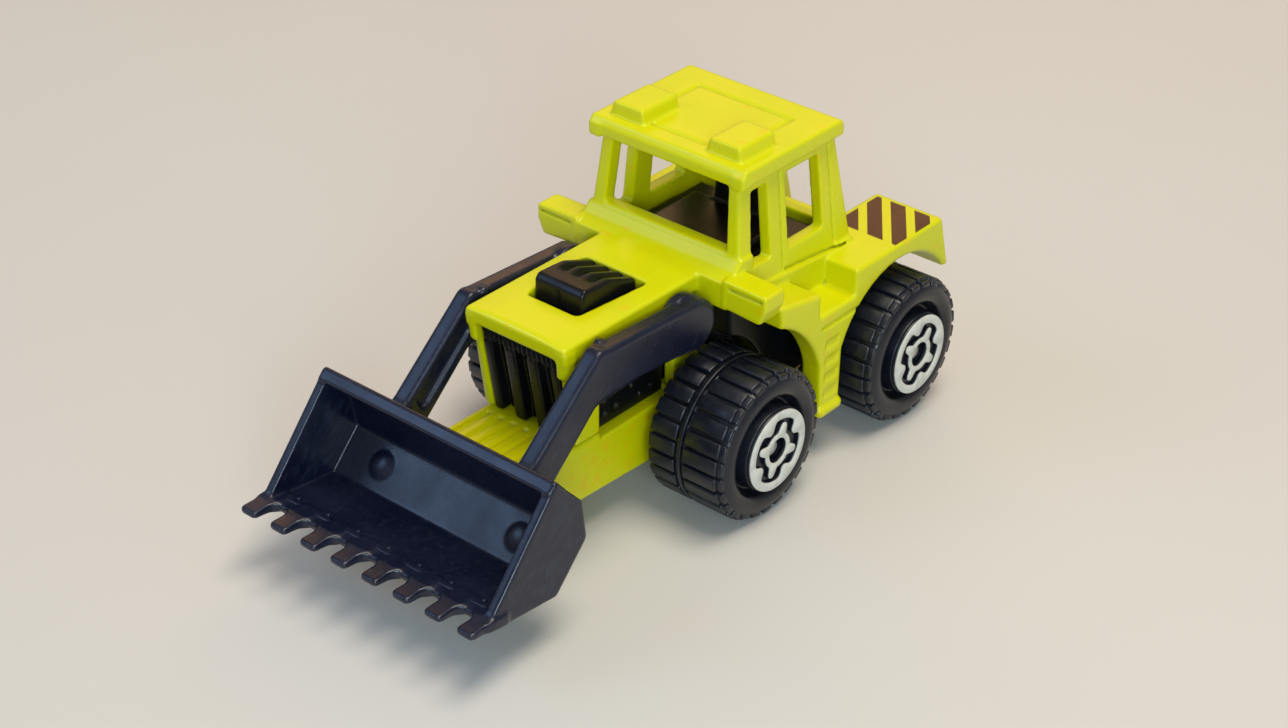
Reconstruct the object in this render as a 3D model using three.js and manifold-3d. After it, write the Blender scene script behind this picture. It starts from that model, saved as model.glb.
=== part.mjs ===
// A pocket-size die-cast toy wheeled loader: a metal body and base, a black plastic interior,
// a black plastic loader that lifts about a pivot beside the bonnet, and four free-rolling wheels.
// Millimetres. +X points forward to the bucket, +Y to the toy's left, +Z up. The origin is on the
// ground under the middle of the toy.
import * as THREE from "three";
import { mergeVertices } from "three/addons/utils/BufferGeometryUtils.js";
import Module from "manifold-3d";

const wasm = await Module();
wasm.setup();

// ---- driving dimensions ----------------------------------------------------------------------
const GAP = 0.3; // left between two pieces that touch

// wheels and axles
const WHEEL_RADIUS = 7.9;
const WHEELBASE = 23.7;
const FRONT_AXLE_X = -3.65;
const REAR_AXLE_X = FRONT_AXLE_X - WHEELBASE;
const AXLE_Z = WHEEL_RADIUS;
const TREAD_RADIUS = 7.35; // between the lugs
const LUGS = 26;
const LUG_SHARE = 0.72; // of the lug pitch
const TYRE_INNER_Y = 7.4;
const TYRE_OUTER_Y = 16.8;
const HUB_FACE_Y = 17.6;
const HUB_RADIUS = 4.3;
const HUB_HOLE_RADIUS = 1.35;
const HUB_FACE_THICKNESS = 0.3;
const RECESS_RADIUS = 5.4;
const RECESS_DEPTH = 1.5;
const AXLE_RADIUS = 0.75;
const AXLE_BORE_RADIUS = 0.85;
const AXLE_HEAD_RADIUS = 1.1;

// body
const BONNET_FRONT_X = 14.4;
const BONNET_FOOT_X = 12.5; // the front leans back towards its foot
const BONNET_HALF_WIDTH = 6.2;
const BONNET_EDGE_Z = 22.8;
const BONNET_CROWN_Z = 23.1;
const BONNET_SKIN = 1.5;
const BONNET_LIP_Z = 19.7;
const SIDE_HALF_WIDTH = 5.95;
const SIDE_WALL = 1.3;
const COWL_FRONT_X = -4.75;
const COWL_BACK_X = -8.6;
const COWL_TOP_Z = 23.2;
const WING_HALF_WIDTH = 14.65;
const POD_INNER_Y = 9.6;
const POD_BACK_X = -7.5;
const POD_FOOT_Z = 19.9;

// cab
const SILL_Z = 22.7;
const HEADER_Z = 30.5;
const CAB_TOP_Z = 31.8;
const CAB_FOOT_HALF_WIDTH = 9.9; // at the sill
const CAB_TOP_HALF_WIDTH = 8.7;
const SCREEN_FOOT_X = -7.1;
const SCREEN_TOP_X = -7.8;
const CAB_BACK_TOP_X = -22.8;
const CAB_BACK_FOOT_X = -24.9;
const POST = 1.4;
const ROOF_Z = 33.75;
const ROOF_HALF_WIDTH = 9.75;
const ROOF_FRONT_X = -7.0;
const ROOF_BACK_X = -22.9;
const LAMP_POD_TOP_Z = 35.35;

// fenders
const FENDER_TOP_Z = 19.75;
const FENDER_OUTER_Y = 14.35;
const FENDER_INNER_Y = 6.2;
const FENDER_FRONT_X = -19.9;
const INNER_FENDER_FRONT_X = -19.3;
const FENDER_BACK_X = -34.7;
const FENDER_TIP_X = -36.4;
const FENDER_TIP_Z = 13.4;
const REAR_ARCH_RADIUS = 10.0;
const FRONT_ARCH_RADIUS = 11.2;
const STEP_FLOOR_Z = 16.85;
const STEP_INNER_Y = 10.2; // the wall behind the step
const STEP_FRONT_X = -14.1;
const LEG_FRONT_X = -14.7;
const LEG_BACK_X = -17.9;
const LEG_INNER_Y = 11.1;
const LEG_FOOT_Z = 4.9;

// base
const BASE_HALF_WIDTH = 5.9;
const BASE_FOOT_Z = 4.2;
const BASE_TOP_Z = 10.5;
const LEDGE_TOP_Z = 11.1;
const LEDGE_FRONT_X = 18.5;
const LEDGE_BACK_X = 12.2;
const BASE_BACK_X = -35.0;

const RIVETS = [6.5, -16.5];
const RIVET_RADIUS = 1.2;
const RIVET_HEAD_RADIUS = 1.7;
const RIVET_SINK = 1.1; // the heads sit in round pockets, clear of the flat underside

// loader
const PIVOT_X = -1.5;
const PIVOT_Z = 19.4;
const PIVOT_PIN_RADIUS = 1.1;
const PIVOT_HOLE_RADIUS = 1.2;
const ARM_INNER_Y = 7.1;
const ARM_OUTER_Y = 9.2;
const ARM_END_RADIUS = 2.75;
const ARM_BOSS_RADIUS = 2.95;
const BUCKET_HALF_WIDTH = 14.7;
const BUCKET_WALL = 1.0;
const BOSS_Y = 8.9; // two domes on the sloping back panel
const TEETH = 8;
const TOOTH_WIDTH = 2.1;

// ---- solids ------------------------------------------------------------------------------------
function solid(geometry) {
  const bare = geometry.clone();
  bare.deleteAttribute("normal");
  bare.deleteAttribute("uv");
  const merged = mergeVertices(bare, 1e-4);
  const mesh = new wasm.Mesh({
    numProp: 3,
    vertProperties: merged.attributes.position.array,
    triVerts: new Uint32Array(merged.index.array),
  });
  return new wasm.Manifold(mesh);
}

function outline(points) {
  return new THREE.Shape(points.map(([u, v]) => new THREE.Vector2(u, v)));
}

function extruded(shape, depth, curveSegments = 8) {
  return new THREE.ExtrudeGeometry(shape, { depth, bevelEnabled: false, curveSegments });
}

// A side outline in (x, z) given a thickness from y0 to y1.
function sidePrism(points, y0, y1) {
  const geometry = extruded(outline(points), y1 - y0);
  return solid(geometry.rotateX(Math.PI / 2).translate(0, y1, 0));
}

// A plan outline in (x, y) given a height from z0 to z1.
function planPrism(points, z0, z1) {
  return solid(extruded(outline(points), z1 - z0).translate(0, 0, z0));
}

// A front outline in (y, z) given a length from x0 to x1.
function frontPrism(points, x0, x1) {
  const turn = new THREE.Matrix4().makeBasis(
    new THREE.Vector3(0, 1, 0),
    new THREE.Vector3(0, 0, 1),
    new THREE.Vector3(1, 0, 0),
  );
  return solid(extruded(outline(points), x1 - x0).applyMatrix4(turn).translate(x0, 0, 0));
}

function box([x0, x1], [y0, y1], [z0, z1]) {
  const geometry = new THREE.BoxGeometry(x1 - x0, y1 - y0, z1 - z0);
  return solid(geometry.translate((x0 + x1) / 2, (y0 + y1) / 2, (z0 + z1) / 2));
}

// A round bar across the toy, from y0 to y1.
function crossBar(x, z, radius, y0, y1, sides = 24) {
  const geometry = new THREE.CylinderGeometry(radius, radius, y1 - y0, sides);
  return solid(geometry.translate(x, (y0 + y1) / 2, z));
}

// An upright round bar, from z0 to z1.
function upright(x, y, radius, z0, z1, sides = 20) {
  const geometry = new THREE.CylinderGeometry(radius, radius, z1 - z0, sides).rotateX(Math.PI / 2);
  return solid(geometry.translate(x, y, (z0 + z1) / 2));
}

// A profile in (radius, y) turned about the Y axis through (x, z).
function turned(points, x, z, sides) {
  const profile = points.map(([r, y]) => new THREE.Vector2(r, y));
  return solid(new THREE.LatheGeometry(profile, sides).translate(x, 0, z));
}

// Points along an arc about (cx, cz), from angle a0 to a1 in degrees.
function arc(cx, cz, radius, a0, a1, steps) {
  const points = [];
  for (let i = 0; i <= steps; i += 1) {
    const a = THREE.MathUtils.degToRad(a0 + ((a1 - a0) * i) / steps);
    points.push([cx + radius * Math.cos(a), cz + radius * Math.sin(a)]);
  }
  return points;
}

function geometryOf(body) {
  const mesh = body.getMesh();
  const geometry = new THREE.BufferGeometry();
  geometry.setAttribute("position", new THREE.BufferAttribute(mesh.vertProperties, 3));
  geometry.setIndex(new THREE.BufferAttribute(mesh.triVerts, 1));
  geometry.computeVertexNormals();
  return geometry;
}

// The same shape on the toy's other side.
function mirrored(body) {
  return body.mirror([0, 1, 0]);
}

// ---- materials ---------------------------------------------------------------------------------
const FINISHES = {
  paint: { color: 0xdfe01c, roughness: 0.3, metalness: 0.1 },
  plastic: { color: 0x16181f, roughness: 0.35, metalness: 0 },
  wheel: { color: 0x17181c, roughness: 0.45, metalness: 0 },
  hub: { color: 0xd9dbd2, roughness: 0.5, metalness: 0 },
  steel: { color: 0xa9abad, roughness: 0.35, metalness: 1 },
};

const toy = new THREE.Group();

function add(name, body, finish) {
  const material = new THREE.MeshStandardMaterial(FINISHES[finish]);
  const mesh = new THREE.Mesh(geometryOf(body), material);
  mesh.name = name;
  toy.add(mesh);
}

// ---- bonnet: crowned skin, front pillars and the rear side walls that hold the loader ----------
function bonnet() {
  const halfFront = BONNET_HALF_WIDTH - 0.25;
  const section = (inset) => [
    [-(halfFront + 0.25 - inset), BONNET_LIP_Z - 10],
    [halfFront + 0.25 - inset, BONNET_LIP_Z - 10],
    [halfFront + 0.25 - inset, BONNET_EDGE_Z - inset - 0.5],
    [halfFront - 0.25 - inset, BONNET_EDGE_Z - inset],
    [3, BONNET_CROWN_Z - inset - 0.1],
    [0, BONNET_CROWN_Z - inset],
    [-3, BONNET_CROWN_Z - inset - 0.1],
    [-(halfFront - 0.25 - inset), BONNET_EDGE_Z - inset],
    [-(halfFront + 0.25 - inset), BONNET_EDGE_Z - inset - 0.5],
  ];
  const wallBack = COWL_FRONT_X + 0.1;
  const side = [
    [wallBack, LEDGE_TOP_Z + GAP],
    [BONNET_FOOT_X, LEDGE_TOP_Z + GAP],
    [BONNET_FRONT_X, BONNET_EDGE_Z - 0.8],
    [BONNET_FRONT_X - 0.4, BONNET_CROWN_Z + 0.1],
    [wallBack, BONNET_CROWN_Z + 0.1],
  ];
  const outer = frontPrism(section(0), wallBack, BONNET_FRONT_X + 1).intersect(
    sidePrism(side, -10, 10),
  );
  const inside = frontPrism(section(BONNET_SKIN), wallBack - 1, 20).intersect(
    sidePrism(
      [
        [wallBack - 1, 0],
        [BONNET_FOOT_X - 2.6, 0],
        [BONNET_FRONT_X - 1.4, BONNET_CROWN_Z],
        [wallBack - 1, BONNET_CROWN_Z],
      ],
      -10,
      10,
    ),
  );
  let shell = outer.subtract(inside);
  // the walls below the lip stand a little in from it
  for (const y of [SIDE_HALF_WIDTH, -SIDE_HALF_WIDTH - 1]) {
    shell = shell.subtract(box([wallBack - 1, 16], [y, y + 1], [0, BONNET_LIP_Z]));
  }
  // the bay at each side, closed round the pivot
  const bay = [
    [-1.7, 0],
    [9.1, 0],
    [9.1, BONNET_LIP_Z - 0.4],
    [3.4, BONNET_LIP_Z - 0.4],
    [1.6, 16.2],
    [-1.7, 14.6],
  ];
  shell = shell.subtract(sidePrism(bay, -10, 10));
  const grilleHole = frontPrism(
    [
      [-4.8, 0],
      [4.8, 0],
      [5.0, 21.4],
      [-5.0, 21.4],
    ],
    9,
    16,
  );
  const intakeHole = planPrism(
    [
      [0.2, -3.9],
      [9.2, -3.2],
      [9.2, 3.2],
      [0.2, 3.9],
    ],
    21,
    24,
  );
  shell = shell.subtract(grilleHole).subtract(intakeHole);
  return shell.subtract(crossBar(PIVOT_X, PIVOT_Z, PIVOT_HOLE_RADIUS, -10, 10));
}

// ---- cowl: the cross member under the windscreen, with a raised pod on each wing -----------------
function cowl() {
  const back = COWL_BACK_X;
  const front = COWL_FRONT_X - 0.2;
  const centre = sidePrism(
    [
      [front, 11.4],
      [front, 23.0],
      [SCREEN_FOOT_X + 0.5, 23.9],
      [back, 23.9],
      [back, 11.4],
    ],
    -SIDE_HALF_WIDTH,
    SIDE_HALF_WIDTH,
  );
  const wing = box([back, front], [-POD_INNER_Y, POD_INNER_Y], [POD_FOOT_Z, COWL_TOP_Z - 0.3]);
  let whole = centre.add(wing);
  for (const s of [1, -1]) {
    const ends = s > 0 ? [POD_INNER_Y - 0.01, WING_HALF_WIDTH] : [-WING_HALF_WIDTH, 0.01 - POD_INNER_Y];
    whole = whole.add(box([POD_BACK_X, front], ends, [POD_FOOT_Z, COWL_TOP_Z]));
  }
  // hollow from behind, where the interior moulding passes through
  return whole.subtract(box([back - 1, front - 1.5], [-4.6, 4.6], [10, 21.6]));
}

// ---- cab frame: leaning walls, open at the front, both sides and the back -------------------------
function cabFrame() {
  const cut = 0.01;
  const foot = FENDER_TOP_Z + GAP;
  const rise = CAB_TOP_Z - foot;
  const lean = (z) =>
    CAB_FOOT_HALF_WIDTH + ((CAB_TOP_HALF_WIDTH - CAB_FOOT_HALF_WIDTH) * (z - foot)) / rise;
  const section = (inset) => [
    [-lean(foot) + inset, foot - cut],
    [lean(foot) - inset, foot - cut],
    [lean(CAB_TOP_Z) - inset, CAB_TOP_Z + cut],
    [-lean(CAB_TOP_Z) + inset, CAB_TOP_Z + cut],
  ];
  const front = COWL_BACK_X - GAP;
  const outer = sidePrism(
    [
      [front, foot],
      [front, 23.9 + GAP],
      [SCREEN_FOOT_X, 23.9 + GAP],
      [SCREEN_TOP_X, CAB_TOP_Z],
      [CAB_BACK_TOP_X, CAB_TOP_Z],
      [CAB_BACK_FOOT_X, foot],
    ],
    -20,
    20,
  ).intersect(frontPrism(section(0), -40, 0));
  const innerSide = [
    [front - POST, foot - 1],
    [front - POST, 23.9 + GAP],
    [SCREEN_FOOT_X - POST, 23.9 + GAP],
    [SCREEN_TOP_X - POST, CAB_TOP_Z + 1],
    [CAB_BACK_TOP_X + POST, CAB_TOP_Z + 1],
    [CAB_BACK_FOOT_X + POST, foot - 1],
  ];
  const inner = sidePrism(innerSide, -20, 20).intersect(frontPrism(section(POST), -40, 0));
  let frame = outer.subtract(inner);
  const screen = frontPrism(
    [
      [-7.5, 24.9],
      [7.5, 24.9],
      [7.1, HEADER_Z + 0.6],
      [-7.1, HEADER_Z + 0.6],
    ],
    -12,
    -4,
  );
  const backWindow = frontPrism(
    [
      [-7.4, 21.6],
      [7.4, 21.6],
      [7.0, HEADER_Z],
      [-7.0, HEADER_Z],
    ],
    -28,
    -20,
  );
  const quarterLight = sidePrism(
    [
      [-8.9, SILL_Z + 1.8],
      [-12.0, SILL_Z + 1.8],
      [-12.0, HEADER_Z],
      [-9.5, HEADER_Z],
    ],
    -20,
    20,
  );
  const doorWindow = box([-20.2, -14.6], [-20, 20], [SILL_Z, HEADER_Z]);
  frame = frame.subtract(screen).subtract(backWindow).subtract(quarterLight);
  return frame.subtract(doorWindow);
}

// ---- roof: a slab with a shallow panel and two raised lamp pods -----------------------------------
function roof() {
  const slab = sidePrism(
    [
      [ROOF_FRONT_X, CAB_TOP_Z + GAP + 0.2],
      [ROOF_FRONT_X - 0.2, ROOF_Z - 0.3],
      [ROOF_FRONT_X - 0.5, ROOF_Z],
      [ROOF_BACK_X + 0.3, ROOF_Z],
      [ROOF_BACK_X, ROOF_Z - 0.3],
      [ROOF_BACK_X, CAB_TOP_Z + GAP],
      [ROOF_FRONT_X - 0.3, CAB_TOP_Z + GAP],
    ],
    -ROOF_HALF_WIDTH,
    ROOF_HALF_WIDTH,
  );
  let whole = slab.subtract(box([-20.0, -9.4], [-5.9, 5.9], [ROOF_Z - 0.2, ROOF_Z + 1]));
  for (const s of [1, -1]) {
    const pod = frontPrism(
      [
        [s * 3.6, ROOF_Z - 0.8],
        [s * 8.7, ROOF_Z - 0.8],
        [s * 8.2, LAMP_POD_TOP_Z],
        [s * 4.1, LAMP_POD_TOP_Z],
      ],
      -14.3,
      -8.1,
    );
    whole = whole.add(pod);
  }
  return whole;
}

// ---- fender: wing over the rear wheel, entry step and the leg between the wheels ------------------
function fender() {
  const crest = [
    [FENDER_BACK_X, FENDER_TOP_Z],
    [FENDER_TIP_X, FENDER_TIP_Z],
  ];
  const outer = sidePrism(
    [
      [POD_BACK_X - GAP, 20.7],
      [STEP_FRONT_X, 19.4],
      [STEP_FRONT_X, STEP_FLOOR_Z],
      [FENDER_FRONT_X, STEP_FLOOR_Z],
      [FENDER_FRONT_X, FENDER_TOP_Z],
      ...crest,
      ...arc(REAR_AXLE_X, AXLE_Z, REAR_ARCH_RADIUS, 146, 22, 14),
      [LEG_BACK_X, LEG_FOOT_Z],
      [LEG_FRONT_X, LEG_FOOT_Z],
      ...arc(FRONT_AXLE_X, AXLE_Z, FRONT_ARCH_RADIUS, 166, 112, 8),
    ],
    STEP_INNER_Y,
    FENDER_OUTER_Y,
  );
  const shelf = STEP_FLOOR_Z - 1.3;
  const inner = sidePrism(
    [
      [INNER_FENDER_FRONT_X, shelf],
      [INNER_FENDER_FRONT_X, FENDER_TOP_Z],
      ...crest,
      ...arc(REAR_AXLE_X, AXLE_Z, REAR_ARCH_RADIUS, 146, 50, 12),
    ],
    FENDER_INNER_Y,
    STEP_INNER_Y + 0.1,
  );
  // under the step only the leg is left, and beside it a thin wall
  const underStep = box([-20.2, -7], [STEP_INNER_Y - 1, LEG_INNER_Y], [0, shelf]);
  const wall = box(
    [INNER_FENDER_FRONT_X - 0.5, COWL_BACK_X - GAP],
    [STEP_INNER_Y - 1, STEP_INNER_Y + 0.1],
    [STEP_FLOOR_Z - 0.5, FENDER_TOP_Z],
  );
  return outer.subtract(underStep).add(wall).add(inner);
}

// ---- rear deck: the wall under the back of the cab and the tub between the rear wheels ---------------
function rearDeck() {
  return sidePrism(
    [
      [-23.3, BASE_TOP_Z + GAP],
      [-23.3, FENDER_TOP_Z],
      [CAB_BACK_FOOT_X, FENDER_TOP_Z],
      [CAB_BACK_FOOT_X - 0.3, 15.8],
      [-33.6, 15.8],
      [-34.6, 13.4],
      [-34.6, BASE_TOP_Z + GAP],
    ],
    -BASE_HALF_WIDTH,
    BASE_HALF_WIDTH,
  );
}

// ---- base: ledge, rails and belly ------------------------------------------------------------------
function base() {
  let body = sidePrism(
    [
      [LEDGE_FRONT_X, 6.2],
      [LEDGE_FRONT_X, LEDGE_TOP_Z],
      [LEDGE_BACK_X, LEDGE_TOP_Z],
      [LEDGE_BACK_X, BASE_TOP_Z],
      [BASE_BACK_X, BASE_TOP_Z],
      [BASE_BACK_X, 6.0],
      [BASE_BACK_X + 2, BASE_FOOT_Z],
      [14, BASE_FOOT_Z],
    ],
    -BASE_HALF_WIDTH,
    BASE_HALF_WIDTH,
  );
  for (const x of [FRONT_AXLE_X, REAR_AXLE_X]) {
    body = body.subtract(crossBar(x, AXLE_Z, AXLE_BORE_RADIUS, -8, 8));
  }
  for (const x of RIVETS) {
    body = body.subtract(upright(x, 0, RIVET_RADIUS + 0.1, 0, 20));
    body = body.subtract(upright(x, 0, RIVET_HEAD_RADIUS + GAP, 0, BASE_FOOT_Z + RIVET_SINK));
  }
  // tread ribs along the ledge
  for (let i = -2; i <= 2; i += 1) {
    const y = i * 2.2;
    body = body.subtract(box([13.2, 17.8], [y - 0.35, y + 0.35], [LEDGE_TOP_Z - 0.25, 20]));
  }
  return body;
}

// ---- the black moulding behind the windows, in the bay and at the front ------------------------------
function cabFloor() {
  const low = box([-23.0, -10.6], [-5.6, 5.6], [BASE_TOP_Z + GAP, 20.2]);
  const wide = box([-22.6, -10.6], [-8.0, 8.0], [FENDER_TOP_Z + GAP, 20.9]);
  // the part that shows between the wheels, behind the step
  const side = [
    [-10.6, 14.3],
    [-12.9, 11.2],
    [-18.2, 11.2],
    [-19.0, 13.5],
    [-19.0, FENDER_TOP_Z],
    [-10.6, FENDER_TOP_Z],
  ];
  const between = sidePrism(side, -8.9, 8.9);
  const post = upright(RIVETS[1], 0, RIVET_RADIUS + 0.1, 0, 14);
  return low.add(wide).add(between).subtract(post);
}

function seat() {
  const bench = box([-18.9, -11.0], [-5.5, 5.5], [21.2, 22.2]);
  const back = sidePrism(
    [
      [-20.4, 21.2],
      [-14.6, 21.2],
      [-14.4, 22.4],
      [-18.6, 22.6],
      [-19.1, 26.0],
      [-19.4, 26.5],
      [-20.2, 26.5],
    ],
    -3.0,
    3.0,
  );
  return bench.add(back);
}

function engineBlock() {
  let block = box([-1.2, 9.2], [-4.4, 4.4], [BASE_TOP_Z + GAP, 18.6]);
  const neck = box([-4.4, -1.1], [-4.2, 4.2], [BASE_TOP_Z + GAP, 18.0]);
  block = block.add(neck);
  return block.subtract(upright(RIVETS[0], 0, RIVET_RADIUS + 0.1, 0, 14));
}

function grille() {
  const foot = BASE_TOP_Z + GAP;
  const plate = [
    [BONNET_FOOT_X - 1.9, LEDGE_TOP_Z + GAP],
    [BONNET_FOOT_X - 0.9, LEDGE_TOP_Z + GAP],
    [BONNET_FRONT_X - 1.0, 21.0],
    [BONNET_FRONT_X - 2.0, 21.0],
  ];
  let body = sidePrism(plate, -4.4, 4.4);
  const rib = [
    [BONNET_FOOT_X - 1.0, LEDGE_TOP_Z + GAP],
    [BONNET_FOOT_X - 0.4, LEDGE_TOP_Z + GAP],
    [BONNET_FRONT_X - 0.5, 21.0],
    [BONNET_FRONT_X - 1.2, 21.0],
  ];
  for (const y of [-3.75, -1.4, 1.4, 3.75]) {
    body = body.add(sidePrism(rib, y - 0.65, y + 0.65));
  }
  return body.subtract(box([0, 20], [-9, 9], [0, foot]));
}

function airIntake() {
  return frontPrism(
    [
      [-2.9, 18.9],
      [2.9, 18.9],
      [2.9, 24.4],
      [2.5, 24.9],
      [-2.5, 24.9],
      [-2.9, 24.4],
    ],
    0.6,
    8.6,
  ).intersect(
    sidePrism(
      [
        [0.6, 18.9],
        [8.7, 18.9],
        [8.6, 24.0],
        [7.9, 24.9],
        [0.6, 22.6],
      ],
      -5,
      5,
    ),
  );
}

// ---- loader arm ------------------------------------------------------------------------------------
function arm() {
  const shape = [
    ...arc(PIVOT_X, PIVOT_Z, ARM_END_RADIUS, 270, 92, 12),
    [11.2, 22.75],
    [12.3, 22.65],
    [13.2, 22.1],
    [21.9, 14.9],
    [21.25, 13.9],
    [20.75, 10.8],
    [13.2, 17.3],
    [12.4, 17.6],
    [7.0, 17.7],
    [2.3, 17.2],
  ];
  const blade = sidePrism(shape, ARM_INNER_Y, ARM_OUTER_Y);
  const boss = crossBar(PIVOT_X, PIVOT_Z, ARM_BOSS_RADIUS, 6.7, ARM_INNER_Y + 0.2, 32);
  const pin = crossBar(PIVOT_X, PIVOT_Z, PIVOT_PIN_RADIUS, 5.1, ARM_INNER_Y + 0.1);
  return blade.add(boss).add(pin);
}

// ---- bucket ------------------------------------------------------------------------------------------
function bucket() {
  const rim = [24.95, 17.55];
  const lip = [33.5, 7.2];
  const outerSide = [
    rim,
    [21.6, 13.9],
    [21.0, 9.6],
    [25.1, 5.2],
    [32.4, 5.9],
    [33.6, 6.3],
    lip,
  ];
  const inner = [
    [25.9, 17.6],
    [22.7, 13.5],
    [22.1, 10.0],
    [25.6, 6.3],
    [34.2, 7.1],
    [36.0, 12.0],
  ];
  let body = sidePrism(outerSide, -BUCKET_HALF_WIDTH, BUCKET_HALF_WIDTH);
  const hollow = BUCKET_HALF_WIDTH - BUCKET_WALL;
  body = body.subtract(sidePrism(inner, -hollow, hollow));
  for (const y of [-BOSS_Y, BOSS_Y]) {
    const cap = new THREE.SphereGeometry(2.0, 20, 12).translate(23.0, y, 7.5);
    body = body.add(solid(cap).intersect(sidePrism(outerSide.concat([[30, 17]]), -14, 14)));
  }
  const pitch = (2 * BUCKET_HALF_WIDTH - TOOTH_WIDTH) / (TEETH - 1);
  const tooth = [
    [33.0, 6.2],
    [36.0, 6.5],
    [36.45, 7.0],
    [36.3, 7.3],
    [33.0, 7.15],
  ];
  for (let i = 0; i < TEETH; i += 1) {
    const y = -BUCKET_HALF_WIDTH + TOOTH_WIDTH / 2 + i * pitch;
    body = body.add(sidePrism(tooth, y - TOOTH_WIDTH / 2, y + TOOTH_WIDTH / 2));
  }
  return body;
}

// ---- wheels ------------------------------------------------------------------------------------------
function lugRing(x, y0, y1) {
  const points = [];
  const pitch = 360 / LUGS;
  const half = (pitch * LUG_SHARE) / 2;
  const corner = WHEEL_RADIUS / Math.cos(THREE.MathUtils.degToRad(half));
  for (let i = 0; i < LUGS; i += 1) {
    const middle = 270 + i * pitch;
    for (const [offset, radius] of [
      [-half - 1.2, TREAD_RADIUS],
      [-half, corner],
      [half, corner],
      [half + 1.2, TREAD_RADIUS],
    ]) {
      points.push(...arc(x, AXLE_Z, radius, middle + offset, middle + offset, 1).slice(0, 1));
    }
  }
  const core = crossBar(x, AXLE_Z, TREAD_RADIUS - 1, y0 - 1, y1 + 1, 36);
  return sidePrism(points, y0, y1).subtract(core);
}

function wheel(x) {
  const hubTop = HUB_FACE_Y - HUB_FACE_THICKNESS - GAP;
  const rounded = 0.7;
  const body = turned(
    [
      [AXLE_BORE_RADIUS, TYRE_INNER_Y],
      [2.2, TYRE_INNER_Y],
      [2.6, TYRE_INNER_Y + 3],
      [5.2, TYRE_INNER_Y + 3],
      [5.8, TYRE_INNER_Y],
      [TREAD_RADIUS - 0.4, TYRE_INNER_Y],
      [TREAD_RADIUS, TYRE_INNER_Y + 0.4],
      [TREAD_RADIUS, TYRE_OUTER_Y - rounded],
      [TREAD_RADIUS - 0.3, TYRE_OUTER_Y],
      [RECESS_RADIUS, TYRE_OUTER_Y],
      [RECESS_RADIUS - 0.3, TYRE_OUTER_Y - RECESS_DEPTH],
      [HUB_RADIUS, TYRE_OUTER_Y - RECESS_DEPTH],
      [HUB_RADIUS, hubTop],
      [HUB_HOLE_RADIUS, hubTop],
      [HUB_HOLE_RADIUS, 15.9],
      [AXLE_BORE_RADIUS, 15.9],
      [AXLE_BORE_RADIUS, TYRE_INNER_Y],
    ],
    x,
    AXLE_Z,
    36,
  );
  return body.add(lugRing(x, TYRE_INNER_Y + 0.5, TYRE_OUTER_Y - rounded));
}

function hubFace(x) {
  const low = HUB_FACE_Y - HUB_FACE_THICKNESS;
  return turned(
    [
      [HUB_HOLE_RADIUS, low],
      [HUB_RADIUS, low],
      [HUB_RADIUS, HUB_FACE_Y],
      [HUB_HOLE_RADIUS, HUB_FACE_Y],
      [HUB_HOLE_RADIUS, low],
    ],
    x,
    AXLE_Z,
    36,
  );
}

function axle(x) {
  const end = 16.8;
  const head = 0.6;
  return turned(
    [
      [0, -end],
      [AXLE_HEAD_RADIUS, -end],
      [AXLE_HEAD_RADIUS, head - end],
      [AXLE_RADIUS, head - end],
      [AXLE_RADIUS, end - head],
      [AXLE_HEAD_RADIUS, end - head],
      [AXLE_HEAD_RADIUS, end],
      [0, end],
    ],
    x,
    AXLE_Z,
    20,
  );
}

// ---- assembly ----------------------------------------------------------------------------------------
add("bonnet", bonnet(), "paint");
add("cowl", cowl(), "paint");
add("cab_frame", cabFrame(), "paint");
add("roof", roof(), "paint");
add("fender_left", fender(), "paint");
add("fender_right", mirrored(fender()), "paint");
add("rear_deck", rearDeck(), "paint");
add("base_casting", base(), "paint");
add("cab_floor", cabFloor(), "plastic");
add("seat", seat(), "plastic");
add("engine_block", engineBlock(), "plastic");
add("grille", grille(), "plastic");
add("air_intake", airIntake(), "plastic");
add("arm_left", arm(), "plastic");
add("arm_right", mirrored(arm()), "plastic");
add("bucket", bucket(), "plastic");

for (const [end, x] of [["front", FRONT_AXLE_X], ["rear", REAR_AXLE_X]]) {
  add(end + "_axle", axle(x), "steel");
  for (const side of ["left", "right"]) {
    const place = side === "left" ? (body) => body : mirrored;
    add("wheel_" + end + "_" + side, place(wheel(x)), "wheel");
    add("hub_face_" + end + "_" + side, place(hubFace(x)), "hub");
  }
}

RIVETS.forEach((x, i) => {
  const shank = upright(x, 0, RIVET_RADIUS, BASE_FOOT_Z + 0.4, BASE_TOP_Z + 2);
  const head = upright(x, 0, RIVET_HEAD_RADIUS, BASE_FOOT_Z + 0.1, BASE_FOOT_Z + RIVET_SINK - GAP);
  add(["rivet_front", "rivet_rear"][i], shank.add(head), "steel");
});

export default toy;
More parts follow.
